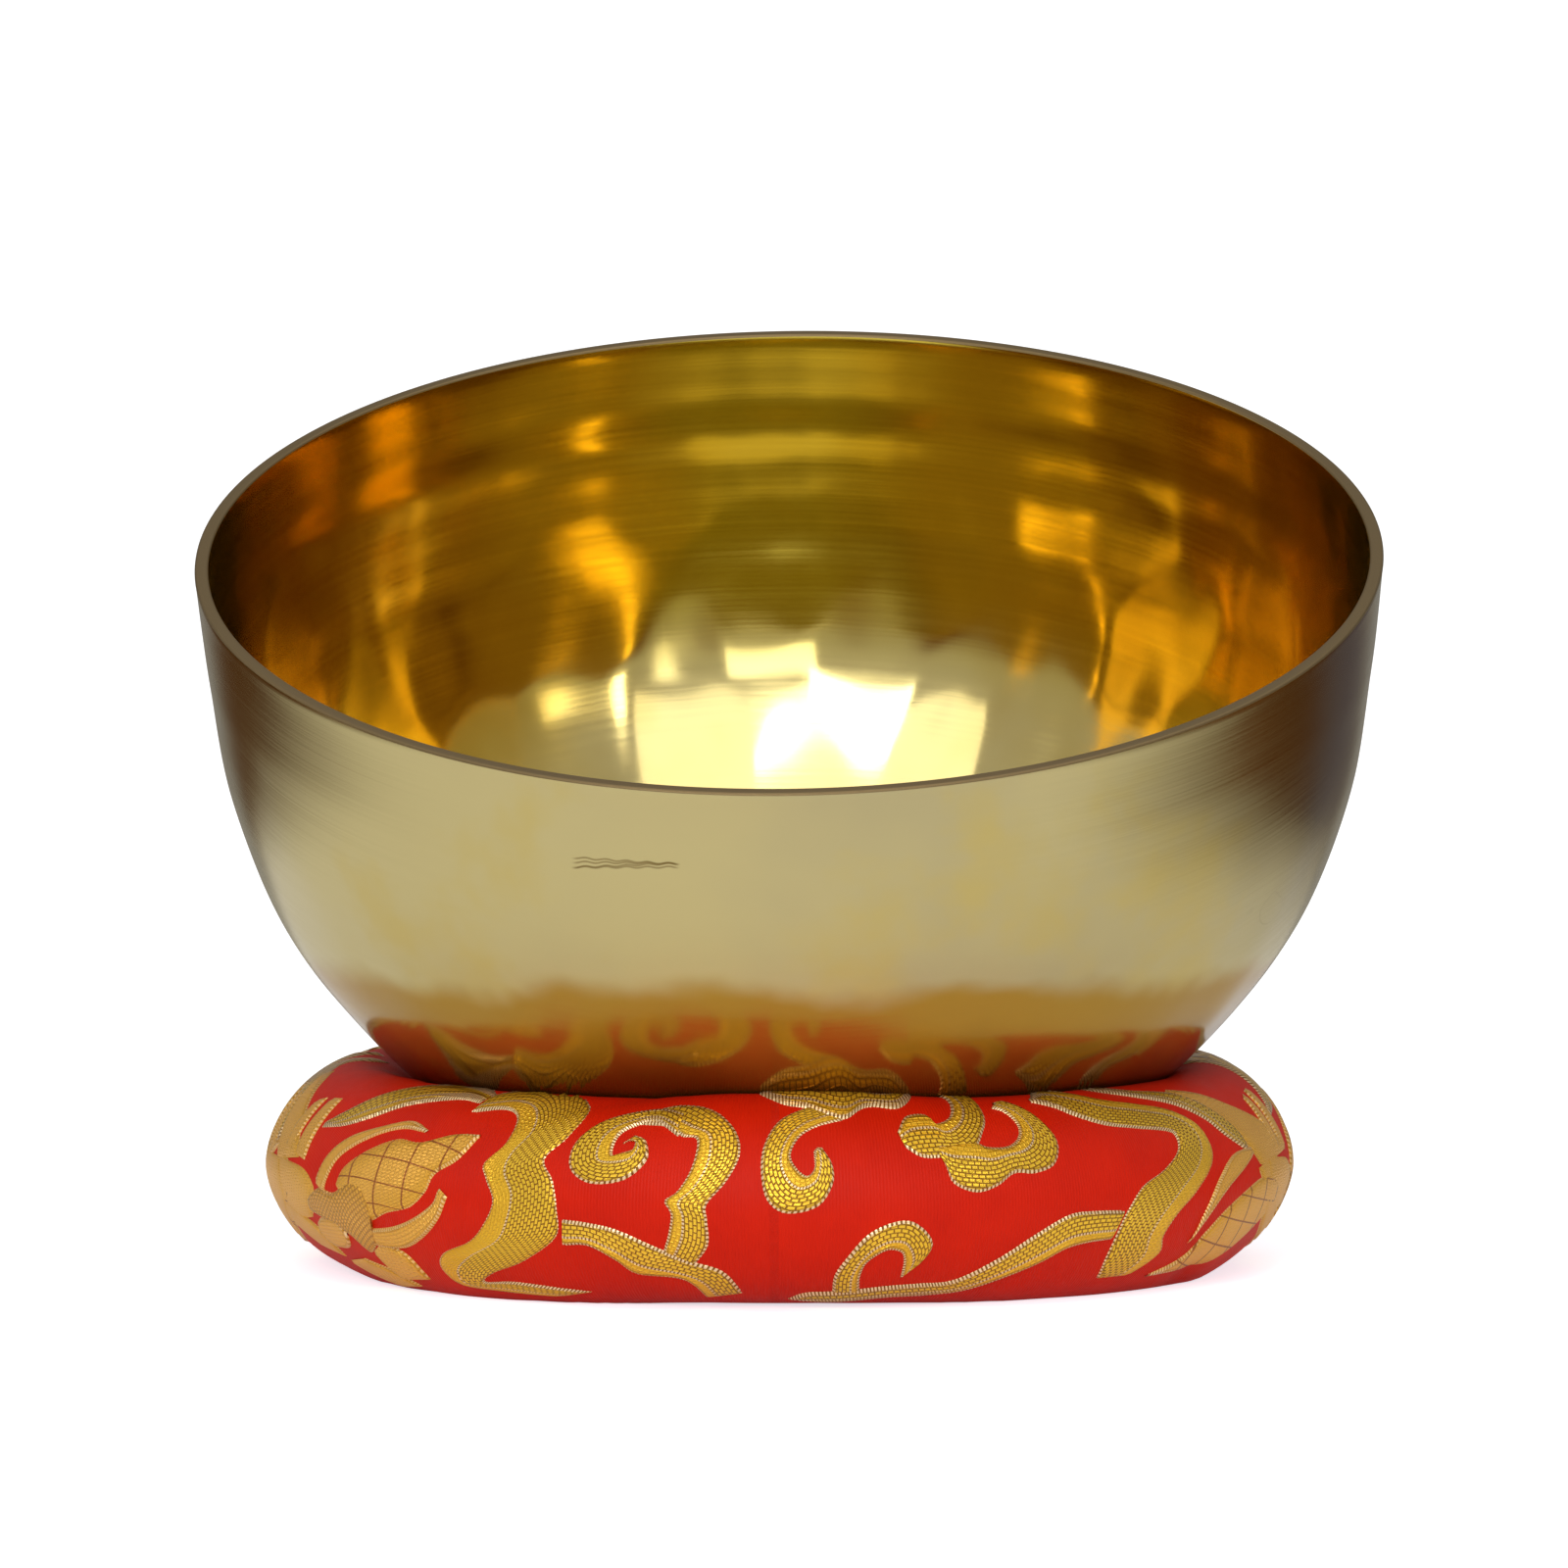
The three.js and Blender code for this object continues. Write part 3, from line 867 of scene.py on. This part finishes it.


# %% The scrolls, drawn one by one
# One edge (across, up), then its partner on the other edge (across, up), in mm.
SCROLLS = [
    # leaf on the left crest
    [(-77, 29.5, -77, 30.5), (-73.5, 30, -75, 32.5), (-70, 31.5, -71.5, 36),
     (-65.5, 34, -66.5, 37.5), (-58.5, 35, -58.5, 37), (-54, 34.5, -53, 36)],
    # S-shaped ribbon, its smooth side to the left, and its thin tail
    [(-54, 33, -53, 36), (-48.5, 33.5, -45, 37), (-45.5, 32, -37.5, 36), (-45.5, 28, -33, 33.5),
     (-48, 24.5, -34.5, 29), (-47, 22, -37.5, 25.5), (-45.5, 18.5, -35.5, 22),
     (-47, 15, -34.5, 17.5), (-50, 12, -35, 13), (-55, 10, -41, 9), (-56.5, 7.5, -47, 7),
     (-54.5, 5, -49.5, 5.5), (-47.5, 4, -43.5, 5.5), (-37.5, 3, -32, 3.5)],
    # comma
    [(-16.5, 28.5, -15.5, 32), (-20, 30.5, -20, 33), (-23, 30.5, -25.5, 32.5),
     (-25.5, 29.5, -30.5, 31), (-26.5, 28, -33.5, 28), (-26.5, 26, -33.5, 24),
     (-25, 26.5, -30, 21.5), (-23.5, 27, -24.5, 22), (-23.5, 28, -21, 25), (-24.5, 28, -21.5, 28),
     (-25.5, 27.5, -23.5, 29)],
    # ribbon that drops from the comma
    [(-23.5, 30.5, -23, 32.5), (-18.5, 30, -17, 33.5), (-16, 28.5, -11, 32.5), (-13.5, 28, -7, 29.5),
     (-14, 24, -6, 26), (-16, 20.5, -8, 22), (-18, 19, -11, 18.5), (-17, 17, -11, 16),
     (-17.5, 14, -11, 12), (-18.5, 11, -13.5, 8.5)],
    # low ribbon to the right
    [(-34.5, 11.5, -34, 16), (-30.5, 11.5, -30, 15.5), (-26.5, 9, -25.5, 14.5),
     (-23.5, 6.5, -20, 12), (-17, 6, -14.5, 9.5), (-14.5, 4.5, -9, 7.5), (-13, 2, -6, 3)],
    # bar under the bowl, with its small scroll
    [(-3.5, 34.5, -3.5, 35), (1, 33, 1, 35.5), (5, 32.5, 6.5, 35.5), (10.5, 31, 11.5, 35.5),
     (14, 32.5, 15, 35.5), (16.5, 33, 18, 35), (21, 33, 21, 35.5), (25.5, 35.5, 24.5, 36.5)],
    # hook
    [(11, 31, 5, 33), (6.5, 30, 0, 31), (3.5, 28.5, -2.5, 27.5), (2, 26, -3, 23.5), (3, 24, -2, 19),
     (4.5, 23, 1, 17), (5.5, 24, 6, 18), (5.5, 25.5, 8.5, 21.5), (5.5, 26.5, 8.5, 24.5),
     (6, 27, 7, 27)],
    # arm and left lobe of the cloud
    [(29.5, 35.5, 36, 36), (30.5, 34.5, 35.5, 32), (29, 32, 34, 29.5), (26, 31, 31.5, 26.5),
     (25, 32.5, 26.5, 25.5), (21.5, 32, 23, 25.5), (19.5, 29.5, 20.5, 27)],
    # lower lobe and curl of the cloud
    [(25, 27.5, 26.5, 24.5), (28, 28, 27.5, 21.5), (31.5, 28.5, 31, 20), (34, 27.5, 34.5, 21),
     (37, 27.5, 37.5, 23), (39, 28.5, 41, 23), (40, 30, 44.5, 24.5), (40, 31.5, 46, 28.5),
     (39, 33, 44, 32.5), (37.5, 33.5, 41, 34.5), (38, 33.5, 38.5, 34.5)],
    # arch
    [(14, 3, 9, 3), (13.5, 6, 9, 6.5), (14, 8.5, 10.5, 9.5), (15.5, 10, 13.5, 13.5),
     (17.5, 11, 17, 15.5), (19.5, 10.5, 20.5, 16), (20, 9, 23.5, 14), (20, 7.5, 24.5, 11.5),
     (20, 6, 22.5, 8.5)],
    # wave that the arch stands on
    [(1.5, 1.5, 1.5, 1.5), (6, 1, 4.5, 3), (11, 1, 10, 3.5), (18.5, 2, 17.5, 4.5),
     (25.5, 2.5, 24, 5), (31.5, 3.5, 29, 5.5), (37, 5.5, 35, 9), (42.5, 8, 41, 13.5),
     (46.5, 10.5, 46, 16.5), (50, 11.5, 50, 17), (53.5, 12, 55, 17)],
    # broad ribbon on the right, its smooth side outside
    [(45.5, 35, 45.5, 34.5), (49.5, 36.5, 48.5, 33.5), (54, 36, 51, 32), (58.5, 35, 55, 30.5),
     (63.5, 34.5, 59.5, 30), (68, 33.5, 65, 29.5), (71, 31, 66, 28.5), (71.5, 27.5, 65, 26),
     (70.5, 24, 61.5, 23), (67, 19.5, 57.5, 20.5), (64, 16, 55, 16.5), (62.5, 12.5, 54, 13),
     (63, 9.5, 53.5, 9), (59.5, 6, 54, 5.5)],
    # crest band that runs to the right flower
    [(57.5, 36.5, 58, 37.5), (64, 35.5, 65, 36.5), (70, 34, 71.5, 36), (73, 31.5, 75, 34),
     (74.5, 28.5, 77, 30), (77, 25.5, 77.5, 26)],
]

# Over the crest, where only the sides and back of the ring show them: degrees, height on
# the cloth, half width.
CREST_SCROLLS = [
    [(-52, 43, 0.4), (-44, 44.5, 2.2), (-35, 46, 2.8), (-27, 44, 2.0), (-24, 41.5, 0.3)],
    [(-16, 42, 0.3), (-8, 45, 2.6), (0, 46.5, 3.0), (8, 45, 2.4), (12, 42, 0.3)],
    [(22, 43, 0.4), (30, 46, 2.6), (39, 45, 2.8), (47, 43, 0.5)],
    [(-62, 40, 0.3), (-68, 45, 2.4), (-74, 50, 2.2), (-70, 55, 0.4)],
    [(-40, 52, 0.3), (-30, 54, 2.0), (-20, 53, 2.2), (-10, 55, 0.4)],
    [(8, 53, 0.3), (18, 55, 2.2), (28, 53, 2.0), (38, 55, 0.4)],
]

# %% The flowers, drawn one by one
LEFT_FLOWER = [
    # slender upright petal
    ("plain", [(-81.5, 25, -80, 24.5), (-81.5, 29.5, -80, 29.5), (-81, 34, -80, 34.5)]),
    # its neighbour
    ("plain", [(-79.5, 25, -77.5, 24), (-79.5, 29.5, -77.5, 30), (-79, 34.5, -77.5, 34.5)]),
    # side petal
    ("plain", [(-83.5, 24.5, -81, 24), (-84.5, 21.5, -77, 22.5), (-84, 17, -75, 19),
     (-81, 13.5, -77, 14.5)]),
    # lower side petal
    ("plain", [(-84.5, 18.5, -81, 16.5), (-82.5, 13, -77, 12.5), (-79, 8.5, -75, 7.5)]),
    # upper crescent
    ("plain", [(-73.5, 19, -75, 20.5), (-73, 21, -73.5, 25.5), (-71.5, 25, -71, 28.5),
     (-67.5, 28.5, -66.5, 30.5), (-63.5, 30, -62.5, 31.5), (-59.5, 29.5, -59, 30)]),
    # second round petal
    ("plain", [(-75, 7, -70.5, 8), (-72, 5, -66, 6.5), (-67.5, 3.5, -63, 4)]),
    # round petal below
    ("plain", [(-67.5, 9.5, -64.5, 11.5), (-66.5, 6.5, -61, 9.5), (-65.5, 5, -59.5, 5.5)]),
    # leaf with a lattice
    ("lattice", [(-65.5, 14.5, -71.5, 20.5), (-62.5, 16, -70.5, 23.5), (-58.5, 17, -67.5, 26.5),
     (-56, 19.5, -63.5, 28.5), (-55, 22.5, -59.5, 28), (-52, 25, -54.5, 29.5),
     (-50, 29, -50, 29.5)]),
    # lower crescent
    ("plain", [(-67, 13.5, -66, 10.5), (-62.5, 14, -61, 10.5), (-58.5, 15.5, -57, 12.5),
     (-55, 18, -54, 15.5), (-54, 20.5, -52.5, 19)]),
    # dotted heart petal
    ("dots", [(-77, 16, -77, 17.5), (-75, 14.5, -74.5, 19.8), (-72, 13, -71.8, 19.2),
     (-70, 11, -69, 21.4), (-68.4, 9, -66.5, 21), (-66.3, 10.5, -65.2, 17),
     (-65.8, 11.5, -65.7, 13.5)]),
    # knob in the heart
    ("plain", [(-76.8, 11.8, -76.8, 12.4), (-75.9, 9.8, -75.9, 14.4), (-74, 9.1, -74, 15.1),
     (-72.1, 9.8, -72.1, 14.4), (-71.2, 11.8, -71.2, 12.4)]),
]
RIGHT_FLOWER = [
    # crown petal
    ("plain", [(71, 36, 72, 36.5), (75, 32, 77, 35.5), (77, 27.5, 81.5, 31.5),
     (78.5, 23, 84, 25.5)]),
    # side petal
    ("plain", [(78, 22.5, 81.5, 25), (79, 19, 84.5, 21.5), (81.5, 15, 84.5, 17.5)]),
    # leaf with a lattice
    ("lattice", [(63, 5.5, 63.5, 6), (69, 6.5, 67.5, 9), (73, 6.5, 69.5, 13), (77, 9, 72.5, 17),
     (80.5, 14, 77, 20.5), (82.5, 19, 80.5, 22)]),
    # crescent
    ("plain", [(67, 11, 67.5, 12.5), (69, 15, 68.5, 16.5), (72, 19.5, 70.5, 21), (76, 23, 74, 25),
     (78, 25, 78, 26.5)]),
]
MARKS = {"plain": 0.0, "lattice": 1.0, "dots": 2.0}
FLOWER_TURN = 76.0


def mirrored(edges, about):
    """The same petal on the flower's far side."""
    other = edges.copy()
    other[..., 0] = 2 * about - other[..., 0]
    return other


# %% Repeating the figures round the ring
# The front is as drawn. Two narrower copies fill the rest. The sizes are in degrees.
UNIT_MIDDLE, UNIT_WIDE = 3.0, 146.0
SIDE_SHRINK = (360 - UNIT_WIDE) / 2 / UNIT_WIDE
SIDE_TURN = UNIT_WIDE / 2 * (1 + SIDE_SHRINK)
UNITS = [(0.0, 1.0), (SIDE_TURN, SIDE_SHRINK), (-SIDE_TURN, SIDE_SHRINK)]


def repeat(edges, unit):
    turn_by, shrink = unit
    edges = edges.copy()
    edges[..., 0] = UNIT_MIDDLE + turn_by + (edges[..., 0] - UNIT_MIDDLE) * shrink
    return edges


figures = [unrolled(figure) for figure in SCROLLS] + [ribbon(knots) for knots in CREST_SCROLLS]
petals = [(MARKS[kind], unrolled(figure)) for kind, figure in LEFT_FLOWER]
far_petals = [(mark, mirrored(edges, -FLOWER_TURN)) for mark, edges in petals]
petals += [(MARKS[kind], unrolled(figure)) for kind, figure in RIGHT_FLOWER]
scroll_bands, petal_bands = [], []
for unit in UNITS:
    for number, edges in enumerate(figures):
        scroll_bands.append(band(repeat(edges, unit), number % 3))
    # the right flower of the front figure stands where the next unit's far petals would be
    for number, (mark, edges) in enumerate(petals + far_petals * (unit[0] <= 0)):
        petal_bands.append(band(repeat(edges, unit), number % 11 * 0.4, mark=mark))
scrolls = join_bands("brocade_scrolls", scroll_bands)
flowers = join_bands("brocade_flowers", petal_bands)

# %% [markdown]
# Three threads make a band: gold floats for the smooth side, gold cells over brown for
# the other, and pale stitches laid square across both edges. A group turns the band's
# own measures, its run along the curve and its place across, into those three masks.


# %% Band weave group
def band_group():
    """Masks for the edge stitches, the smooth side and the cells, and their relief."""
    group = bpy.data.node_groups.new("band_weave", "ShaderNodeTree")
    for name in ("Along", "Across", "Half Width", "Smooth Share", "Stitch Pitch"):
        group.interface.new_socket(name, in_out="INPUT", socket_type="NodeSocketFloat")
    for name in ("Edge", "Stitch", "Smooth", "Cell", "Line", "Relief"):
        group.interface.new_socket(name, in_out="OUTPUT", socket_type="NodeSocketFloat")
    start = group.nodes.new("NodeGroupInput")
    end = group.nodes.new("NodeGroupOutput")
    along, across = start.outputs["Along"], start.outputs["Across"]
    half = start.outputs["Half Width"]
    inside = times(group, minus(group, 1.0, size_of(group, across)), half)
    rim = step(group, inside, 0.66, 0.54)
    from_join = size_of(group, minus(group, across, start.outputs["Smooth Share"]))
    join = step(group, times(group, from_join, half), 0.24, 0.14)
    edge = math(group, "MAXIMUM", rim, join)
    past = size_of(group, minus(group, inside, 0.78))
    line = step(group, past, 0.16, 0.06)
    stitches_along = math(group, "DIVIDE", along, start.outputs["Stitch Pitch"])
    beat = math(group, "SINE", times(group, stitches_along, 2 * pi))
    stitch = step(group, beat, -0.75, 0.25)
    smooth = step(group, across, plus(group, start.outputs["Smooth Share"], 0.06),
                  start.outputs["Smooth Share"])
    rows = math(group, "DIVIDE", times(group, across, half), 0.66)
    row = math(group, "FLOOR", rows)
    shifted = plus(group, math(group, "DIVIDE", along, 1.1), times(group, row, 0.5))
    u = size_of(group, minus(group, math(group, "FRACT", shifted), 0.5))
    v = size_of(group, minus(group, math(group, "FRACT", rows), 0.5))
    cell = times(group, step(group, u, 0.48, 0.34), step(group, v, 0.48, 0.30))
    relief = math(group, "MAXIMUM", times(group, edge, stitch), cell)
    for name, value in (("Edge", edge), ("Stitch", stitch), ("Smooth", smooth),
                        ("Cell", cell), ("Line", line), ("Relief", relief)):
        group.links.new(value, end.inputs[name])
    return group


bands_woven = band_group()


def band_material(name, smooth_colour, cell_colour, gap_colour, edge_colour, smooth_share,
                  pitch, **values):
    """Gold threads for one kind of figure."""
    material, tree, shader = new_material(name, **values)
    weave = node(tree, "ShaderNodeGroup", node_tree=bands_woven)
    for socket, source in (("Along", "along"), ("Across", "across"), ("Half Width", "half")):
        tree.links.new(attribute(tree, source), weave.inputs[socket])
    weave.inputs["Smooth Share"].default_value = smooth_share
    weave.inputs["Stitch Pitch"].default_value = pitch
    ground = node(tree, "ShaderNodeGroup", node_tree=satin)
    tree.links.new(attribute(tree, "crosswise"), ground.inputs["Along"])
    tree.links.new(attribute(tree, "lengthwise"), ground.inputs["Across"])
    ground.inputs["Pitch"].default_value = 0.5
    shine = mix(tree, ground.outputs["Mottle"], smooth_colour, cell_colour)
    colour = mix(tree, weave.outputs["Cell"], gap_colour, cell_colour)
    colour = mix(tree, weave.outputs["Smooth"], colour, shine)
    colour = mix(tree, times(tree, weave.outputs["Line"], 0.55), colour, gap_colour)
    stitches = mix(tree, weave.outputs["Stitch"], gap_colour, edge_colour)
    colour = mix(tree, weave.outputs["Edge"], colour, stitches)
    rib = times(tree, ground.outputs["Rib"], 0.3)
    height = plus(tree, weave.outputs["Relief"], rib)
    tree.links.new(bump(tree, height, 0.6, 0.0003), shader.inputs["Normal"])
    return material, tree, shader, colour


GOLD_FLOAT = (0.90, 0.46, 0.02, 1)
GOLD_CELL = (1.0, 0.63, 0.04, 1)
BROWN_GAP = (0.30, 0.12, 0.01, 1)
PALE_STITCH = (0.96, 0.72, 0.42, 1)
CREAM = (1.0, 0.55, 0.09, 1)
PETAL_SHADE = (0.84, 0.41, 0.05, 1)
PETAL_GAP = (0.46, 0.18, 0.02, 1)
# the edge gold and painted shade: darker towards each petal's rim
PETAL_RIM_GOLD_AND_SHADE = (0.86, 0.44, 0.03, 1)
LATTICE_BROWN = (0.40, 0.12, 0.02, 1)
DOT_BROWN = (0.46, 0.20, 0.03, 1)
gold_bands, tree, shader, colour = band_material(
    "gold_bands", GOLD_FLOAT, GOLD_CELL, BROWN_GAP, PALE_STITCH, -0.3, 0.62,
    Roughness=0.29, Metallic=0.6)
tree.links.new(colour, shader.inputs["Base Color"])

# %% [markdown]
# The petals are cream satin with a golden edge that deepens towards their rims: partly the
# gold of the edge, partly painted shade that rounds each petal. The leaf carries a brown
# stitched lattice and the heart petals are dotted: both are drawn from the petal's own
# measures, where a mark says which petal has which.

# %% Petal material
cream_petals, tree, shader, colour = band_material(
    "cream_petals", PETAL_SHADE, CREAM, PETAL_GAP, PALE_STITCH,
    3.0, 0.62, Roughness=0.36, Metallic=0.5)
mark = attribute(tree, "mark")
sideways = times(tree, attribute(tree, "across"), attribute(tree, "half"))
forward = attribute(tree, "along")


def grid_lines(tree, first, second, pitch, thin, thick):
    """1 on two families of slanted lines, from the sum and difference of two measures."""
    lines = []
    for operation in ("ADD", "SUBTRACT"):
        phase = math(tree, "DIVIDE", math(tree, operation, first, second), pitch)
        off = size_of(tree, minus(tree, math(tree, "FRACT", phase), 0.5))
        lines.append(step(tree, off, thin, thick))
    return math(tree, "MAXIMUM", *lines)


lattice = grid_lines(tree, forward, sideways, 8.0, 0.46, 0.48)
dots = grid_lines(tree, forward, sideways, 1.1, 0.25, 0.4)
lattice = times(tree, lattice, math(tree, "COMPARE", mark, 1.0, 0.3))
dots = times(tree, dots, math(tree, "COMPARE", mark, 2.0, 0.3))
# Partly painted shade: each petal darkens from its middle to its rim, besides its golden edge.
rim_gold_and_shade = step(tree, size_of(tree, attribute(tree, "across")), 0.15, 0.95)
colour = mix(tree, times(tree, rim_gold_and_shade, 0.55), colour, PETAL_RIM_GOLD_AND_SHADE)
colour = mix(tree, lattice, colour, LATTICE_BROWN)
colour = mix(tree, times(tree, dots, 0.8), colour, DOT_BROWN)
tree.links.new(colour, shader.inputs["Base Color"])
for piece, material in ((scrolls, gold_bands), (flowers, cream_petals)):
    finish_piece(piece, "cushion", "brocade", material)

# %% [markdown]
# ## Thread and wadding
# The thread that joins the tube's two ends runs up the outer face at the back. It is a thin
# tube whose middle line is read from the settled cloth, and both its ends dip into the cloth.
# Two design pieces keep their shapes and get their finishes: the thread of the long seam and
# the cotton wadding, which only shows where the cover is opened.


# %% Thread and wadding finishes
def thread_material(name, colour, dark):
    """Twisted thread: slanted ridges on Object coordinates."""
    material, tree, shader = new_material(name, Roughness=0.6, Sheen_Weight=0.3)
    place = node(tree, "ShaderNodeTexCoord").outputs["Object"]
    twist = node(tree, "ShaderNodeTexWave", {"Vector": place, "Scale": 900.0,
                                             "Distortion": 1.0}, bands_direction="DIAGONAL")
    tree.links.new(mix(tree, twist.outputs["Fac"], dark, colour), shader.inputs["Base Color"])
    tree.links.new(bump(tree, twist.outputs["Fac"], 0.5, 0.0001), shader.inputs["Normal"])
    return material


def wadding_material():
    material, tree, shader = new_material("cotton_wadding", Roughness=0.95, Sheen_Weight=0.4)
    place = node(tree, "ShaderNodeTexCoord").outputs["Object"]
    tufts = noise(tree, place, 320.0, 5.0, 0.65)
    colour = mix(tree, tufts, (0.66, 0.60, 0.50, 1), (0.90, 0.87, 0.80, 1))
    tree.links.new(colour, shader.inputs["Base Color"])
    tree.links.new(bump(tree, tufts, 0.7, 0.001), shader.inputs["Normal"])
    return material


THREAD_RADIUS = 0.35 * MM
THREAD_STEPS, THREAD_SIDES = 90, 8
THREAD_FROM, THREAD_TO = -1.2, 1.3      # radians round the tube, from low outside to the crest
THREAD_PROUD, THREAD_SUNK = 0.4, 0.9    # mm over the cloth along it, and under it at its ends


def join_thread():
    """A tube about a line on the cloth, at the back: middle + radius * (cos side + sin up)."""
    climb = np.linspace(THREAD_FROM, THREAD_TO, THREAD_STEPS)
    height = CREST / 2 * (1 + np.sin(climb))
    from_end = np.minimum(np.arange(THREAD_STEPS), np.arange(THREAD_STEPS)[::-1])
    shown = np.clip(from_end / 6, 0, 1)
    lift = ((THREAD_PROUD + THREAD_SUNK) * shown - THREAD_SUNK) * MM
    middle = on_cloth(180 + 0 * climb, height, lift)
    forward = np.gradient(middle, axis=0)
    forward /= np.linalg.norm(forward, axis=1, keepdims=True)
    side = np.tile([1.0, 0.0, 0.0], (THREAD_STEPS, 1))
    up = np.cross(side, forward)
    turn = np.linspace(0, 2 * pi, THREAD_SIDES, endpoint=False)[None, :, None]
    radius = THREAD_RADIUS * np.clip(from_end / 3, 0.02, 1)[:, None, None]
    ring = np.cos(turn) * side[:, None] + np.sin(turn) * up[:, None]
    points = middle[:, None] + radius * ring
    faces = grid_faces(THREAD_STEPS, THREAD_SIDES, wrap_columns=True)
    return make_mesh("join_thread_sewn", points.reshape(-1, 3), faces)


gold_thread = thread_material("gold_thread", (0.80, 0.50, 0.12, 1), (0.45, 0.22, 0.04, 1))
finish_piece(join_thread(), "cushion", "gold_thread", gold_thread, "join_thread")

FINISHES = {
    "seam_thread": thread_material("red_thread", (0.50, 0.02, 0.01, 1), (0.25, 0.01, 0.01, 1)),
    "cushion_filling": wadding_material(),
}
for name, material in FINISHES.items():
    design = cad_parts[name]
    design.data.materials.clear()
    design.data.materials.append(material)
